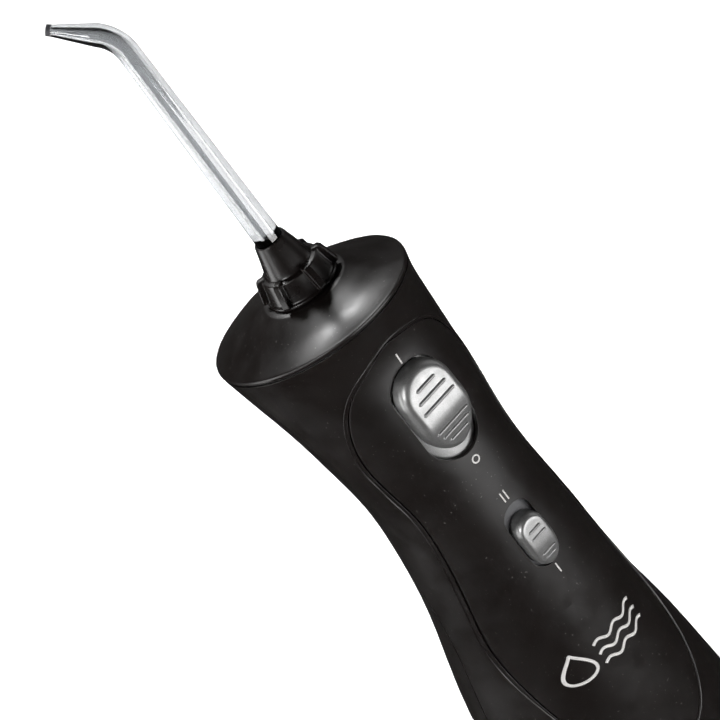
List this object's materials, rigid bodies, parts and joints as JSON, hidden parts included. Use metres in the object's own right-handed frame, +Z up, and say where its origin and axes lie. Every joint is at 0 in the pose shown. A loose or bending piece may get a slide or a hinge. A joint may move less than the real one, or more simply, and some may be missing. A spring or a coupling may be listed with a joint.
{
  "type": "cordless water flosser",
  "caption": "Handheld cordless oral irrigator: waisted handle, domed head with turning knob and bent clear jet tip, two front sliders, pull-off rear water tank.",
  "frame": {"origin": "on the tip's axis at floor level", "axes": "+Z up along the tip's axis, -Y towards the switches, +X to the right seen from the front"},
  "size_m": [0.069, 0.0787, 0.2919],
  "materials": {
    "black_satin": "satin moulded black",
    "cover_black": "satin moulded black, slightly softer",
    "tank_black": "satin moulded black",
    "knob_black": "semi-gloss black",
    "slider_silver": "satin silver paint",
    "inner_plastic": "plain moulded",
    "black_rubber": "matt rubber",
    "screw_steel": "plated",
    "spring_steel": "drawn wire",
    "tip_clear": "clear hard plastic",
    "tip_ring": "dark ring",
    "motor_steel": "drawn can",
    "gear_brass": "turned",
    "gear_plastic": "white acetal",
    "cell_green": "printed sleeve",
    "board_green": "solder mask",
    "hose_clear": "soft translucent tube"
  },
  "bodies": {
    "handle": {"housing": "black_satin", "base_plate": "black_satin", "case_screws": "screw_steel", "front_cover": "cover_black", "bulkhead": "inner_plastic", "rim_gasket": "black_rubber", "top_cap": "black_satin", "head_frame": "inner_plastic", "tip_socket": "inner_plastic", "tip_oring": "black_rubber", "inlet_spigot": "inner_plastic", "front_feet": "black_rubber", "motor": "motor_steel", "motor_bracket": "inner_plastic", "gear_axle": "screw_steel", "pump_cylinder": "gear_plastic", "pump_head": "gear_plastic", "head_gasket": "black_rubber", "check_valves": "black_rubber", "battery_cells": "cell_green", "battery_holder": "inner_plastic", "battery_contacts": "spring_steel", "circuit_board": "board_green", "power_switch": "inner_plastic", "pressure_switch": "inner_plastic", "charge_socket": "inner_plastic", "suction_hose": "hose_clear", "discharge_hose": "hose_clear", "eject_spring": "spring_steel"},
    "knob": {"knob": "knob_black", "knob_clip": "inner_plastic"},
    "tip": {"jet_tip": "tip_clear", "tip_orifice": "tip_ring"},
    "power_slide": {"power_slider": "slider_silver"},
    "pressure_slide": {"pressure_slider": "slider_silver"},
    "eject_key": {"eject_button": "slider_silver", "latch_plate": "inner_plastic"},
    "tank": {"reservoir": "tank_black", "door_pin": "screw_steel", "port_seal": "black_rubber", "pickup_tube": "inner_plastic", "rear_feet": "black_rubber"},
    "fill_door": {"fill_door": "tank_black", "door_seal": "black_rubber"},
    "gear": {"drive_gear": "gear_plastic"},
    "pinion": {"motor_pinion": "gear_brass"},
    "piston": {"piston": "gear_plastic", "piston_seal": "black_rubber"}
  },
  "joints": [
    {"name": "knob_turn", "type": "hinge", "parent": "handle", "child": "knob", "pos_m": [0, 0, 0.2037], "axis": [0, 0, 1], "continuous": true},
    {"name": "tip_pull", "type": "slide", "parent": "knob", "child": "tip", "axis": [0, 0, 1], "range_m": [0, 0.036]},
    {"name": "power_travel", "type": "slide", "parent": "handle", "child": "power_slide", "axis": [0, -0.0625, -0.998], "range_m": [0, 0.0026]},
    {"name": "pressure_travel", "type": "slide", "parent": "handle", "child": "pressure_slide", "axis": [0, 0.032, 0.9995], "range_m": [0, 0.0036]},
    {"name": "eject_press", "type": "slide", "parent": "handle", "child": "eject_key", "axis": [0, -1, 0], "range_m": [0, 0.002], "stiffness_N_per_m": 400, "deforming": ["eject_spring"]},
    {"name": "tank_pull", "type": "slide", "parent": "handle", "child": "tank", "axis": [0, 1, 0], "range_m": [0, 0.04]},
    {"name": "fill_door_hinge", "type": "hinge", "parent": "tank", "child": "fill_door", "pos_m": [0, 0.0297, 0.1086], "axis": [1, 0, 0], "range_deg": [0, 100]},
    {"name": "gear_turn", "type": "hinge", "parent": "handle", "child": "gear", "pos_m": [0.0095, -0.006, 0.085], "axis": [1, 0, 0], "continuous": true},
    {"name": "pinion_turn", "type": "hinge", "parent": "handle", "child": "pinion", "pos_m": [0.0095, -0.006, 0.07], "axis": [1, 0, 0], "continuous": true},
    {"name": "piston_travel", "type": "slide", "parent": "handle", "child": "piston", "axis": [0, 0, 1], "range_m": [0, 0.003]}
  ],
  "couplings": [
    {"joint": "pinion_turn", "follows": "gear_turn", "ratio": -3}
  ]
}
